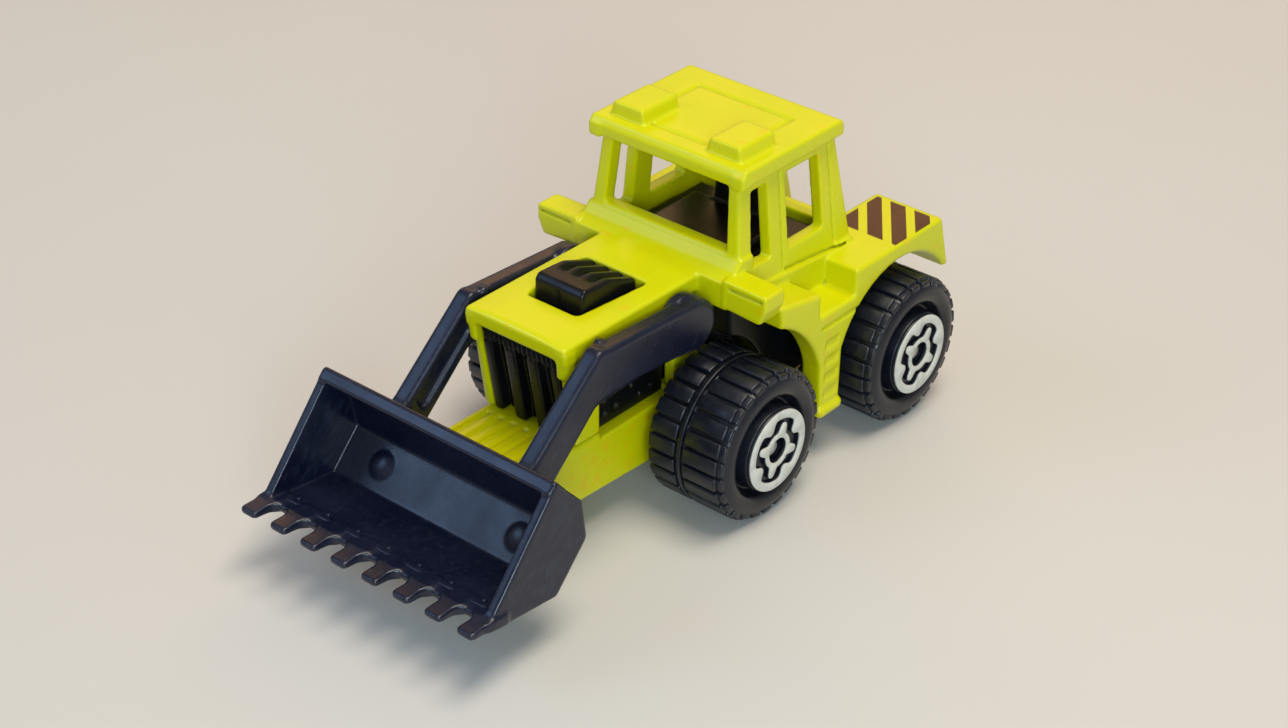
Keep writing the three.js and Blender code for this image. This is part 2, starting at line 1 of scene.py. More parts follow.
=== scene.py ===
# %% [markdown]
# # A pocket die-cast wheel loader
# The toy is a painted metal body on a metal base, with a black plastic interior, a black plastic
# loader that lifts, and four chunky plastic wheels on steel axles. The measured solids come first,
# as a fixed frame in metres. Every visible piece below is built over them and rides on one of
# their bodies, so the toy can still roll and lift.
# %% The frame
import math
import bpy
import bmesh
import numpy as np
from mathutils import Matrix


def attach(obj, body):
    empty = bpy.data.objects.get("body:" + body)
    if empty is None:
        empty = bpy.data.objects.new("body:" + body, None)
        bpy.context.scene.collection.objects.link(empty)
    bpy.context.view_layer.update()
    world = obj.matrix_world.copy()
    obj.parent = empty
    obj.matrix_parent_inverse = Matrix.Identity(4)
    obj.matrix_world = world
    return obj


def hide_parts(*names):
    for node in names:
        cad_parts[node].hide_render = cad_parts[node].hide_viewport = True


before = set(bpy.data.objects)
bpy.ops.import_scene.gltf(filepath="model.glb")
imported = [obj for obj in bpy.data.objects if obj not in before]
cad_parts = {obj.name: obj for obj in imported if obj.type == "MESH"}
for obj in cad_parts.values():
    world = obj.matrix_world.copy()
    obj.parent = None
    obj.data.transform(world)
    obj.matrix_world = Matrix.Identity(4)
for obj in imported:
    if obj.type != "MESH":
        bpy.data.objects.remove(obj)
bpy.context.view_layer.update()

MM = 0.001
FINE = 0.17  # grid step for the moulded pieces, in millimetres
FRONT_X, REAR_X, AXLE_Z = -3.65, -27.35, 7.9  # the two axles, in millimetres
PIVOT = (-1.5, 19.4)  # x and z of the axis that the loader lifts about

# %% [markdown]
# The camera looks down on the toy's left front corner with a long lens, so its parallel edges stay
# nearly parallel. A pale floor, one broad lamp overhead and three weaker ones give the soft light of
# a small product set, with long gentle highlights in the gloss paint.
# %% Camera, floor and light
camera = bpy.data.objects.new("camera", bpy.data.cameras.new("camera"))
camera.data.lens = 70.23
camera.data.sensor_width = 36
camera.data.clip_start = 0.01
camera.location = (0.15931, 0.13796, 0.14257)
camera.rotation_euler = [math.radians(a) for a in (58.27, -0.53, 130.47)]
bpy.context.scene.collection.objects.link(camera)
bpy.context.scene.camera = camera

floor_mesh = bpy.data.meshes.new("floor")
floor_mesh.from_pydata([(-3, -3, 0), (3, -3, 0), (3, 3, 0), (-3, 3, 0)], [], [(0, 1, 2, 3)])
floor = bpy.data.objects.new("floor", floor_mesh)
bpy.context.scene.collection.objects.link(floor)


def lamp(name, place, size, watts, tint):
    light = bpy.data.lights.new(name, "AREA")
    light.shape = "RECTANGLE"
    light.size, light.size_y = size
    light.energy = watts
    light.color = tint
    holder = bpy.data.objects.new(name, light)
    holder.location = place
    bpy.context.scene.collection.objects.link(holder)
    aim = (-holder.location).to_track_quat("-Z", "Y")
    holder.rotation_euler = aim.to_euler()


lamp("overhead", (-0.04, 0.12, 0.62), (0.40, 0.28), 3.0, (1.0, 0.90, 0.77))
lamp("front_fill", (0.42, 0.46, 0.26), (0.30, 0.22), 2.5, (0.70, 0.88, 1.0))
lamp("cool_side", (0.38, -0.36, 0.42), (0.30, 0.24), 0.75, (0.38, 0.60, 1.0))
lamp("back_strip", (-0.46, -0.30, 0.36), (0.6, 0.2), 0.7, (1.0, 0.50, 0.12))
world = bpy.data.worlds.new("pale_room")
world.use_nodes = True
world.node_tree.nodes["Background"].inputs["Color"].default_value = (0.96, 0.98, 1.0, 1)
world.node_tree.nodes["Background"].inputs["Strength"].default_value = 0.27
bpy.context.scene.world = world
bpy.context.scene.view_settings.view_transform = "Standard"
print("camera", tuple(round(v, 4) for v in camera.location))

# %% [markdown]
# Cast metal and moulded plastic have no sharp edges: paint and draft angles round every corner and
# fill every inner one. Bevelling a mesh with hundreds of cut faces rarely works everywhere, so the
# castings are shaped as a field of distances instead. Each shape gives the distance to its surface,
# joins and cuts blend over a chosen radius, and the surface is drawn where the distance is zero.
# %% Distances to simple shapes, in millimetres
def rounded(a, b, r):
    """Both a and b, with their shared edge rounded to radius r."""
    u, v = np.maximum(a + r, 0), np.maximum(b + r, 0)
    return np.minimum(np.maximum(a + r, b + r), 0) + np.sqrt(u * u + v * v) - r


def soften(points, r, steps=5):
    """The outline with its corners rounded. A point's third number is a radius of its own."""
    out = []
    for i, point in enumerate(points):
        here = np.array(point[:2], float)
        a = np.array(points[i - 1][:2], float) - here
        b = np.array(points[(i + 1) % len(points)][:2], float) - here
        la, lb = np.linalg.norm(a), np.linalg.norm(b)
        a, b = a / la, b / lb
        half = math.acos(max(-1, min(1, float(a @ b)))) / 2
        radius = point[2] if len(point) > 2 else r
        back = min(radius / max(math.tan(half), 1e-3), 0.48 * la, 0.48 * lb)
        for t in np.linspace(0, 1, steps):
            corner = (1 - t) ** 2 * (here + a * back) + 2 * t * (1 - t) * here
            out.append(tuple(corner + t * t * (here + b * back)))
    return out


def to_outline(u, v, points):
    """Distance from (u, v) to a closed outline, negative inside."""
    best, inside = np.float32(1e9), np.zeros(np.broadcast(u, v).shape, bool)
    for (au, av), (bu, bv) in zip(points, points[1:] + points[:1]):
        eu, ev = bu - au, bv - av
        length = eu * eu + ev * ev
        if length < 1e-12:
            continue
        t = np.clip(((u - au) * eu + (v - av) * ev) / length, 0, 1)
        best = np.minimum(best, (u - au - t * eu) ** 2 + (v - av - t * ev) ** 2)
        if abs(ev) > 1e-9:
            inside ^= ((av > v) != (bv > v)) & (u < au + (v - av) * eu / ev)
    return np.where(inside, -np.sqrt(best), np.sqrt(best))


def slab(axis, points, low, high, r=0.25, corner=None, lean=0.0):
    """An outline given a thickness along one axis: (x, z) along y, (y, z) along x, (x, y) along z.
    With lean, its sides along y draw in by that much for each millimetre above z = 20."""
    points = soften(points, r if corner is None else corner) if corner != 0 else list(points)
    us, vs = [p[0] for p in points], [p[1] for p in points]
    a, b = {"y": (0, 2), "x": (1, 2), "z": (0, 1)}[axis]
    k = "xyz".index(axis)
    box = [None, None]
    for i, (pick, far) in enumerate(((min, low), (max, high))):
        corner_point = [0, 0, 0]
        corner_point[a], corner_point[b], corner_point[k] = pick(us), pick(vs), far
        box[i] = corner_point
    if lean:
        box[0][1] -= 3
        box[1][1] += 3
    middle, half = (low + high) / 2, (high - low) / 2

    def distance(grid):
        across = grid[k] + lean * (grid[2] - 20) if lean else grid[k]
        flat = to_outline(grid[a], grid[b], points)
        return rounded(flat, np.abs(across - middle) - half, r)

    return box[0], box[1], distance


def block(x, y, z, r=0.25):
    """A box with rounded edges."""
    def distance(grid):
        sides = [abs(g - (s[0] + s[1]) / 2) - (s[1] - s[0]) / 2 for g, s in zip(grid, (x, y, z))]
        return rounded(rounded(sides[0], sides[1], r), sides[2], r)

    return [x[0], y[0], z[0]], [x[1], y[1], z[1]], distance


def bar(axis, centre, low, high, radius, r=0.2):
    """A round bar along one axis. Its centre holds the other two coordinates."""
    k = "xyz".index(axis)
    a, b = [i for i in range(3) if i != k]
    box = [[0, 0, 0], [0, 0, 0]]
    for side, sign in ((0, -1), (1, 1)):
        box[side][a], box[side][b] = (c + sign * radius for c in centre)
        box[side][k] = (low, high)[side]

    def distance(grid):
        u, v = grid[a] - centre[0], grid[b] - centre[1]
        ends = np.abs(grid[k] - (low + high) / 2) - (high - low) / 2
        return rounded(np.sqrt(u * u + v * v) - radius, ends, r)

    return box[0], box[1], distance


def ball(centre, radius):
    def distance(grid):
        u, v, w = (g - c for g, c in zip(grid, centre))
        return np.sqrt(u * u + v * v + w * w) - radius

    return [c - radius for c in centre], [c + radius for c in centre], distance


def both(one, other, r=0.25):
    """Where two shapes overlap."""
    low = [max(p, q) for p, q in zip(one[0], other[0])]
    high = [min(p, q) for p, q in zip(one[1], other[1])]
    return low, high, lambda grid: rounded(one[2](grid), other[2](grid), r)


# %% [markdown]
# Clay holds the field on a regular grid. Only half the toy is worked, because it is symmetric, and
# the other half is a mirror image. To draw the surface, one point goes in each grid cell that the
# surface passes through, and each grid edge it crosses gives a four-sided face. The points are then
# evened out and pulled back onto the surface, which keeps the flats flat.
# %% A grid of distances and its skin
FAR = 5  # the distance, in millimetres, that an empty grid starts with
MARGIN = 1.2  # how far round a shape the grid is worked


class Clay:
    def __init__(self, low, high, step):
        self.step, self.low = step, np.array([low[0], 0.0, low[2]])
        counts = [int(math.ceil((high[i] - self.low[i]) / step)) + 2 for i in range(3)]
        self.axes = [(self.low[i] + step * np.arange(counts[i])).astype(np.float32) for i in range(3)]
        self.d = np.full(counts, FAR, np.float32)

    def region(self, shape):
        cut, grid = [], []
        for i in range(3):
            a = np.searchsorted(self.axes[i], shape[0][i] - MARGIN)
            b = max(np.searchsorted(self.axes[i], shape[1][i] + MARGIN), a + 1)
            cut.append(slice(a, b))
            view = [1, 1, 1]
            view[i] = -1
            grid.append(self.axes[i][a:b].reshape(view))
        return tuple(cut), grid

    def add(self, shape, blend=0.35):
        cut, grid = self.region(shape)
        old, new = self.d[cut], shape[2](grid)
        near = np.maximum(blend - np.abs(old - new), 0) / blend
        self.d[cut] = np.minimum(old, new) - near * near * blend / 4

    def cut(self, shape, blend=0.25):
        cut, grid = self.region(shape)
        old, new = self.d[cut], -shape[2](grid)
        near = np.maximum(blend - np.abs(old - new), 0) / blend
        self.d[cut] = np.maximum(old, new) + near * near * blend / 4

    def skin(self):
        whole = np.concatenate([self.d[:, :0:-1, :], self.d], axis=1)
        start = self.low - [0, self.step * (self.d.shape[1] - 1), 0]
        shape = np.array(whole.shape)
        stride = np.array([shape[1] * shape[2], shape[2], 1])
        cells, points, quads = [], [], []
        for a in range(3):
            b, c = (a + 1) % 3, (a + 2) % 3
            one = [slice(1, -1)] * 3
            two = [slice(1, -1)] * 3
            one[a], two[a] = slice(0, -1), slice(1, None)
            at = np.argwhere((whole[tuple(one)] < 0) != (whole[tuple(two)] < 0))
            at[:, [b, c]] += 1
            step_on = at.copy()
            step_on[:, a] += 1
            d0, d1 = whole[tuple(at.T)], whole[tuple(step_on.T)]
            crossing = at.astype(float)
            crossing[:, a] += d0 / (d0 - d1)
            cell = at @ stride
            around = [cell - stride[b] - stride[c], cell - stride[c], cell, cell - stride[b]]
            cells += around
            points += [crossing] * 4
            quad = np.stack(around, 1)
            quads.append(np.where((d0 < 0)[:, None], quad, quad[:, ::-1]))
        ids, where = np.unique(np.concatenate(cells), return_inverse=True)
        points, count = np.concatenate(points), np.bincount(where)
        verts = np.stack([np.bincount(where, points[:, i]) / count for i in range(3)], 1)
        faces = np.searchsorted(ids, np.concatenate(quads))
        for share in (0.5, 0.3, 0.0):
            verts = self.settle(whole, self.even(verts, faces, share))
        return verts * self.step + start, faces

    @staticmethod
    def even(verts, faces, share):
        if not share:
            return verts
        total, count = np.zeros_like(verts), np.zeros(len(verts))
        for k in range(4):
            for n in (faces[:, (k + 1) % 4], faces[:, k - 1]):
                for i in range(3):
                    total[:, i] += np.bincount(faces[:, k], verts[n, i], len(verts))
                count += np.bincount(faces[:, k], minlength=len(verts))
        return verts * (1 - share) + share * total / count[:, None]

    @staticmethod
    def settle(whole, verts):
        """Each point moved along the field's slope, to where the distance is zero."""
        top = np.array(whole.shape) - 2
        for _ in range(2):
            base = np.clip(np.floor(verts).astype(int), 0, top)
            f = verts - base
            value, slope = np.zeros(len(verts)), np.zeros_like(verts)
            for corner in np.ndindex(2, 2, 2):
                d = whole[tuple((base + corner).T)]
                w = [f[:, i] if corner[i] else 1 - f[:, i] for i in range(3)]
                value += d * w[0] * w[1] * w[2]
                sign = [1 if corner[i] else -1 for i in range(3)]
                slope[:, 0] += d * sign[0] * w[1] * w[2]
                slope[:, 1] += d * sign[1] * w[0] * w[2]
                slope[:, 2] += d * sign[2] * w[0] * w[1]
            length = np.maximum((slope * slope).sum(1), 1e-6)
            move = -(value / length)[:, None] * slope
            verts = verts + np.clip(move, -0.6, 0.6)
        return verts


def put(name, mesh):
    piece = bpy.data.objects.new(name, mesh)
    bpy.context.scene.collection.objects.link(piece)
    return piece


def cast(name, clay, most):
    """The clay's surface as a mesh in metres, thinned where it is flat to at most that many faces."""
    verts, faces = clay.skin()
    mesh = bpy.data.meshes.new(name)
    mesh.vertices.add(len(verts))
    mesh.vertices.foreach_set("co", (verts * MM).astype(np.float32).ravel())
    mesh.loops.add(faces.size)
    mesh.loops.foreach_set("vertex_index", faces.astype(np.int32).ravel())
    mesh.polygons.add(len(faces))
    mesh.polygons.foreach_set("loop_start", np.arange(0, faces.size, 4, dtype=np.int32))
    mesh.update(calc_edges=True)
    mesh.validate()
    mesh.polygons.foreach_set("use_smooth", [True] * len(mesh.polygons))
    piece = put(name, mesh)
    thin = piece.modifiers.new("thin", "DECIMATE")
    thin.ratio = min(1.0, most / (2 * max(len(faces), 1)))
    even = piece.modifiers.new("even_shading", "WEIGHTED_NORMAL")
    even.weight = 60
    graph = bpy.context.evaluated_depsgraph_get()
    done = bpy.data.meshes.new_from_object(piece.evaluated_get(graph))
    piece.modifiers.clear()
    piece.data = done
    done.name = name
    print(name, len(faces), "faces on the grid,", len(done.polygons), "kept")
    return piece


# %% [markdown]
# The body is one zinc casting: bonnet, a cross member with a pod at each end, cab, roof, fenders
# and the steps between the wheels. It starts with the bonnet, whose top is crowned and whose front
# leans back towards its foot. Its inside is hollow, with an opening in each side for the engine,
# one in front for the grille and one on top for the air intake.
# %% Body casting: bonnet and cross member
body = Clay((-37.2, 0, 3.8), (15.4, 15.6, 36.2), FINE)
bonnet_section = [(-1, 23.2), (3.4, 23.15, 2), (6.3, 22.85, 0.4), (6.3, 21.1, 0.2),
                  (5.95, 20.8, 0.2), (5.95, 10), (-1, 10)]
bonnet_side = [(-6, 11.25), (12.5, 11.25, 0.4), (13.7, 19.0, 0.2), (14.35, 19.5, 0.3),
               (14.55, 22.75, 0.3), (14.1, 23.3, 0.4), (-6, 23.3)]
body.add(both(slab("x", bonnet_section, -6, 16, 0.01), slab("y", bonnet_side, -9, 9, 0.01), 0.3))
corner_post = [(12.9, 22.3), (12.9, 20.4), (13.35, 19.35), (13.95, 19.2), (14.5, 22.3)]
body.add(slab("y", corner_post, 5.1, 6.35, 0.3, 0.3), 0.4)
body.cut(both(slab("x", [(-1, 21.9), (4.6, 21.2), (4.7, 9), (-1, 9)], -9, 16, 0.2),
              slab("y", [(-9, 9), (10.6, 9), (12.9, 22), (-9, 22)], -9, 9, 0.2)), 0.2)
body.cut(slab("y", [(-1.7, 8), (9.1, 8), (9.1, 19.4, 0.9), (3.4, 19.4), (1.7, 17.0), (-1.7, 14.8)],
              -9, 9, 0.1, 0.5), 0.3)
body.cut(slab("x", [(-1, 9), (4.85, 9), (5.1, 21.3, 0.5), (-1, 21.3)], 9.6, 16, 0.1, 0.3), 0.3)
intake_hole = [(0.1, -4.0), (9.3, -3.2, 0.7), (9.3, 3.2, 0.7), (0.1, 4.0)]
body.cut(slab("z", intake_hole, 20.6, 24.5, 0.1, 0.6), 0.3)
cross = [(-4.7, 20.0), (-4.7, 22.85, 0.2), (-6.0, 23.45, 0.3), (-7.05, 24.45, 0.3), (-9.4, 24.45),
         (-9.4, 20.0)]
body.add(slab("y", cross, -9.8, 9.8, 0.2, 0.2), 0.35)
body.add(block((-9.4, -4.7), (-1, 5.95), (11.2, 22), 0.2), 0.3)
pod = [(9.3, 20.2), (9.3, 23.35), (14.65, 23.2), (14.65, 21.6, 0.4), (13.9, 19.95, 0.4)]
body.add(slab("x", pod, -7.6, -4.65, 0.28, 0.3), 0.3)
body.cut(block((-5.0, -4.5), (10.2, 14.2), (22.35, 22.6), 0.05), 0.12)
body.cut(block((-10, -6.2), (-5, 4.6), (10, 21.5), 0.3), 0.2)
body.cut(bar("y", PIVOT, -9, 9, 1.25, 0.1), 0.15)
print("bonnet grid", body.d.shape)

# %% [markdown]
# The cab is a hollow frame whose walls draw in towards the roof. Its windows have no panes: each is
# an opening with rounded corners, set in a shallow step like a rubber seal. Door lines are grooves.
# The roof is a slab with a drooping rim, an inset panel and two raised lamp housings.
# %% Body casting: cab and roof
LEAN = 0.102
cab_side = [(-9.4, 19.0), (-7.05, 24.3), (-7.8, 32.6), (-22.8, 32.6), (-24.9, 19.6), (-24.9, 19.0)]
cab_inside = [(-10.4, 18), (-8.6, 24.9), (-9.3, 31.9), (-21.4, 31.9), (-23.4, 20.5), (-23.4, 18)]
body.add(slab("y", cab_side, -9.9, 9.9, 0.45, 0.4, LEAN), 0.4)
body.cut(slab("y", cab_inside, -8.5, 8.5, 0.4, 0.4, LEAN), 0.25)
screen = [(-1, 24.75), (7.75, 24.75, 0.3), (7.3, 31.5, 0.35), (-1, 31.5)]
body.cut(slab("x", screen, -12, -4, 0.1, 0.3), 0.3)
back_window = [(-1, 21.5), (7.5, 21.5, 0.4), (7.0, 30.8, 0.4), (-1, 30.8)]
body.cut(slab("x", back_window, -28, -20, 0.1, 0.3), 0.3)
quarter = [(-8.85, 23.0), (-9.4, 30.7), (-11.9, 30.7), (-11.9, 22.8)]
door = [(-14.7, 22.75), (-14.7, 30.7), (-20.0, 30.7), (-20.3, 22.75)]
for window in (quarter, door):
    body.cut(slab("y", window, 5, 12, 0.05, 0.32), 0.2)
for x0, z0, x1, z1 in ((-13.85, 20.9, -13.85, 31.3), (-22.1, 19.9, -21.6, 31.3)):
    line = [(x0 - 0.15, z0), (x0 + 0.15, z0), (x1 + 0.15, z1), (x1 - 0.15, z1)]
    body.cut(slab("y", line, 9.66, 12, 0.02, 0, LEAN), 0.12)
roof_side = [(-7.0, 32.0, 0.15), (-6.95, 33.1), (-7.4, 33.85, 0.4), (-22.5, 33.85, 0.4),
             (-22.95, 33.3), (-22.95, 32.1, 0.15)]
body.add(slab("y", roof_side, -9.75, 9.75, 0.3, 0.25), 0.15)
body.cut(slab("y", [(-24, 31.75), (-24, 32.0), (-6, 32.0), (-6, 31.75)], 8.55, 12, 0.02, 0), 0.1)
droop = [(-6.95, 33.4), (-6.85, 31.75, 0.3), (-7.5, 31.7, 0.3), (-9.0, 32.6)]
body.add(slab("y", droop, 8.2, 9.7, 0.3, 0.3), 0.3)
panel = block((-19.5, -9.4), (-6.05, 6.05), (33.6, 36), 0.05)
panel_middle = block((-19.15, -9.75), (-5.7, 5.7), (33, 36), 0.05)
body.cut((panel[0], panel[1], lambda g: np.maximum(panel[2](g), -panel_middle[2](g))), 0.12)
lamp_housing = [(3.75, 33.2), (4.15, 35.35, 0.5), (7.95, 35.35, 0.5), (8.35, 33.2)]
body.add(slab("x", lamp_housing, -13.9, -8.5, 0.3, 0.3), 0.35)

# %% [markdown]
# Each fender is a flat-topped wing over the rear wheel. Ahead of it a step is let into the side, and
# a leg with moulded treads reaches down between the wheels. A low tub closes the back.
# %% Body casting: fenders, steps and tub
def arc(x, z, radius, first, last, steps=16):
    angles = np.radians(np.linspace(first, last, steps))
    return [(x + radius * math.cos(a), z + radius * math.sin(a), 0.05) for a in angles]


crest = [(-34.7, 19.75, 0.6), (-36.4, 13.5, 0.3)]
outer = [(-7.7, 20.75), (-14.1, 19.45, 0.3), (-14.1, 16.85, 0.3), (-19.9, 16.85, 0.3),
         (-19.9, 19.75, 0.4), *crest, *arc(REAR_X, AXLE_Z, 10.0, 145, 22),
         (-17.95, 5.0, 0.3), (-14.7, 5.0, 0.3), *arc(FRONT_X, AXLE_Z, 11.2, 166, 112)]
inner = [(-19.3, 15.6), (-19.3, 20.2), (-24.6, 20.2, 0.1), (-24.8, 19.75, 0.1), *crest,
         *arc(REAR_X, AXLE_Z, 10.0, 145, 50)]
body.add(slab("y", outer, 10.0, 14.4, 0.4, 0.3), 0.3)
body.cut(block((-20.2, -7.9), (9.0, 12.0), (3, 15.55), 0.3), 0.3)
body.add(slab("y", inner, 6.0, 10.3, 0.3, 0.3), 0.3)
step_wall = [(-8.6, 19.6), (-8.6, 20.9), (-20.0, 20.2), (-20.0, 16.4), (-13.6, 16.4), (-13.6, 19.4)]
body.add(slab("y", step_wall, 9.3, 10.3, 0.2, 0.2), 0.3)
tub = [(-23.3, 11.2), (-23.3, 20.4), (-24.9, 20.4), (-25.1, 15.9), (-33.7, 15.9), (-34.7, 13.4),
       (-34.7, 11.2)]
body.add(slab("y", tub, -6.3, 6.3, 0.3, 0.3), 0.4)
body.cut(block((-20.4, -14.5), (14.15, 15), (15.15, 15.45), 0.05), 0.12)
for z in (7.0, 8.9, 10.8, 12.7):
    body.cut(block((-17.3, -15.3), (14.26, 15), (z, z + 0.8), 0.1), 0.22)
body.add(block((-18.25, -14.35), (10.9, 14.75), (4.75, 6.05), 0.6), 0.3)
sill = [(-14.0, 20.55), (-14.0, 20.85), (-23.7, 19.95), (-23.7, 19.65)]
body.cut(slab("y", sill, 9.7, 10.2, 0.02, 0, LEAN), 0.12)
body_casting = cast("body_casting", body, 190000)
del body

# %% [markdown]
# The base is a second casting: a long box between the wheels that carries both axles, with a ledge
# ahead of the grille whose top has moulded treads. Two posts from the body come through it and are
# peened over.
# %% Base casting
POST_X = (6.5, -16.5)  # front and rear
base = Clay((-36, 0, 3.2), (19.6, 7, 12.2), FINE)
base_side = [(18.6, 6.6, 0.5), (18.6, 11.05, 0.4), (-35.0, 11.05, 0.3), (-35.0, 6.4, 0.8),
             (-33.2, 4.2, 0.8), (2.0, 4.2, 2.0), (14.5, 4.8, 1.5)]
base.add(slab("y", base_side, -5.92, 5.92, 0.35, 0.3))
for y in (-0.3, 1.3, 2.9, 4.5):
    base.cut(block((13.0, 17.9), (y, y + 0.65), (10.7, 12), 0.1), 0.2)
base.cut(block((-1.6, 9.0), (4.45, 7), (10.5, 12), 0.1), 0.1)
base.cut(block((-24.5, -8.0), (-1, 4.4), (3, 4.5), 0.15), 0.2)
base.cut(block((-1.0, 3.6), (-1, 4.4), (3, 4.5), 0.15), 0.2)
base.cut(block((9.6, 13.4), (-1, 4.2), (3, 4.9), 0.3), 0.2)
for x in (FRONT_X, REAR_X):
    base.cut(bar("y", (x, AXLE_Z), -8, 8, 0.86, 0.05), 0.1)
for x in POST_X:
    base.cut(bar("z", (x, 0), 3, 5.3, 2.05, 0.1), 0.2)
base_casting = cast("base_casting_piece", base, 90000)

# %% [markdown]
# One black plastic moulding fills the body from inside. It shows as the cab floor and seat, as the
# engine behind the side openings, as the slatted grille, and as the air intake on the bonnet.
# %% Interior moulding
inside = Clay((-24, 0, 6), (15.2, 9.8, 28), FINE)
inside.add(block((-23.0, -10.7), (-1, 5.6), (11.2, 20.4), 0.2))
inside.add(block((-22.7, -10.6), (-1, 8.0), (20.0, 20.9), 0.2), 0.2)
inside.add(block((-19.0, -10.9), (-1, 5.7), (20.6, 22.3), 0.5), 0.3)
seat_back = [(-20.9, 20.8), (-18.4, 21.6), (-19.0, 27.2), (-20.5, 27.2)]
inside.add(slab("y", seat_back, -3.1, 3.1, 0.45, 0.5), 0.5)
inside.add(block((-9.3, -0.9), (-1, 4.3), (11.2, 18.3), 0.2), 0.2)
black_side = [(-6.4, 19.4), (-19.2, 19.4), (-19.2, 12.0), (-18.4, 11.1), (-6.4, 11.1)]
inside.add(slab("y", black_side, -9.1, 9.1, 0.3))
inside.add(block((-18.6, -12.0), (6.2, 9.1), (7.2, 12.5), 0.3), 0.1)
inside.cut(bar("y", (REAR_X, AXLE_Z), 6.1, 12, 8.8, 0.2), 0.2)
inside.cut(bar("y", (FRONT_X, AXLE_Z), 6.1, 12, 8.6, 0.2), 0.2)
inside.add(block((-1.4, 9.4), (-1, 4.5), (11.2, 19.0), 0.2), 0.3)
inside.add(block((-1.3, 8.8), (3, 4.9), (10.7, 18.4), 0.2), 0.3)
for x, z in ((0.6, 12.2), (2.2, 12.0), (5.6, 12.3), (7.2, 12.1), (7.3, 13.6), (3.4, 13.5)):
    inside.add(ball((x, 4.92, z), 0.28), 0.15)
lean_back = [(10.3, 11.3), (11.0, 11.3), (13.1, 21.3), (12.4, 21.3)]
inside.add(slab("y", lean_back, -4.6, 4.6, 0.15, 0.1), 0.1)
inside.add(block((9.0, 11.4), (-1, 3.6), (11.3, 17), 0.2), 0.2)
rib = [(10.9, 11.15), (12.3, 11.15), (14.05, 21.0), (12.9, 21.0)]
for y0, y1 in ((0.75, 2.1), (3.75, 4.75)):
    inside.add(slab("y", rib, y0, y1, 0.2, 0.2), 0.15)
toothed_bar = [(12.7, 19.9), (13.95, 19.9), (14.2, 21.2), (13.0, 21.2)]
inside.add(slab("y", toothed_bar, -4.6, 4.6, 0.1, 0.1), 0.1)
for y in np.arange(0.15, 4.6, 0.62):
    inside.cut(block((13.65, 14.6), (y, y + 0.26), (19.7, 21.1), 0.04), 0.06)
inside.add(block((1.0, 8.0), (-1, 2.9), (18.6, 21.5), 0.2), 0.2)
intake = [(0.45, 20.8), (8.45, 20.8, 0.1), (8.4, 24.5), (7.9, 25.05, 0.5), (4.5, 24.85, 2.5),
          (0.5, 23.3, 0.5)]
inside.add(slab("y", intake, -3.05, 3.05, 0.35, 0.3), 0.1)
scoop = [(5.9, 26), (5.9, 24.85), (4.5, 24.1), (0.9, 22.8), (0.4, 24)]
for y in (-0.35, 1.35):
    inside.cut(slab("y", scoop, y, y + 0.7, 0.25, 0.2), 0.5)
inside.cut(block((8.25, 8.9), (-0.15, 0.15), (21.2, 24.3), 0.05), 0.15)
interior = cast("interior_moulding", inside, 110000)
del base, inside

# %% [markdown]
# The loader is one plastic moulding: two cranked arms and the bucket. The arms are flattened bars
# that spread into round bosses over the pivot pins. The bucket has thin sides, a thick upper rim,
# two rivet domes and eight teeth with scalloped gaps. The arms run into its back with soft fillets.
# %% Loader moulding
loader_clay = Clay((-5.2, 0, 4.2), (36.9, 15.6, 24), FINE)
arm_side = [*[(x, z, 0.01) for x, z, _ in arc(*PIVOT, 2.75, 265, 100, 12)],
            (11.3, 22.75), (12.5, 23.0, 1.2), (21.9, 14.9, 0.3), (21.6, 12.5), (20.75, 10.3, 0.2),
            (13.1, 17.3, 1.4), (7.0, 17.6, 3), (2.3, 17.25)]
bucket_side = [(25.0, 17.6, 0.35), (21.55, 13.9, 0.8), (20.95, 9.6, 1.0), (25.1, 5.2, 0.8), (32.3, 5.9),
               (33.75, 6.6, 0.2), (33.7, 7.35, 0.3)]
hollow = [(26.3, 18.4), (22.8, 13.75, 0.9), (22.05, 10.1, 0.5), (25.55, 6.35, 0.5), (34.6, 7.35), (38, 13)]
loader_clay.add(slab("y", bucket_side, -14.85, 14.85, 0.3, 0.4))
loader_clay.cut(slab("y", hollow, -13.8, 13.8, 0.25, 0.3), 0.15)
upper_rim = [(24.9, 17.6), (26.0, 16.75), (25.4, 15.9), (23.6, 15.9)]
loader_clay.add(slab("y", upper_rim, -14.7, 14.7, 0.2, 0.25), 0.3)
loader_clay.add(slab("y", arm_side, 7.1, 9.15, 0.55, 0.4), 0.9)
arm_hollow = [(13.3, 21.2), (20.4, 14.9), (19.6, 13.2), (12.9, 19.2)]
loader_clay.cut(slab("y", arm_hollow, 6.9, 7.6, 0.3, 0.9), 0.5)
loader_clay.add(bar("y", (-0.9, 19.6), 6.65, 7.9, 2.95, 0.3), 0.3)
loader_clay.add(bar("y", PIVOT, 5.2, 7.2, 1.1, 0.15), 0.2)
loader_clay.add(ball((10.9, 7.3, 22.5), 0.5), 0.5)
loader_clay.add(both(ball((21.8, 8.9, 6.5), 3.03), slab("y", bucket_side, -14, 14), 0.1), 0.1)
tooth_side = [(31.0, 6.1), (33.9, 6.35), (36.45, 6.75, 0.2), (36.45, 7.35, 0.3), (33.9, 7.45, 0.4),
              (31.0, 7.05)]
for y in (2.0, 6.0, 10.0, 14.0):
    plan = [(31.6, y - 1.2), (33.4, y - 1.35, 0.6), (34.6, y - 0.95, 0.6), (36.45, y - 1.05, 0.6),
            (36.45, y + 1.05, 0.6), (34.6, y + 0.95, 0.6), (33.4, y + 1.35, 0.6), (31.6, y + 1.2)]
    end = min(y + 1.5, 15.1)
    tooth = both(slab("z", plan, 5.5, 8.0, 0.05, 0.5), slab("y", tooth_side, y - 1.5, end, 0.05, 0.3), 0.22)
    loader_clay.add(tooth, 0.5)
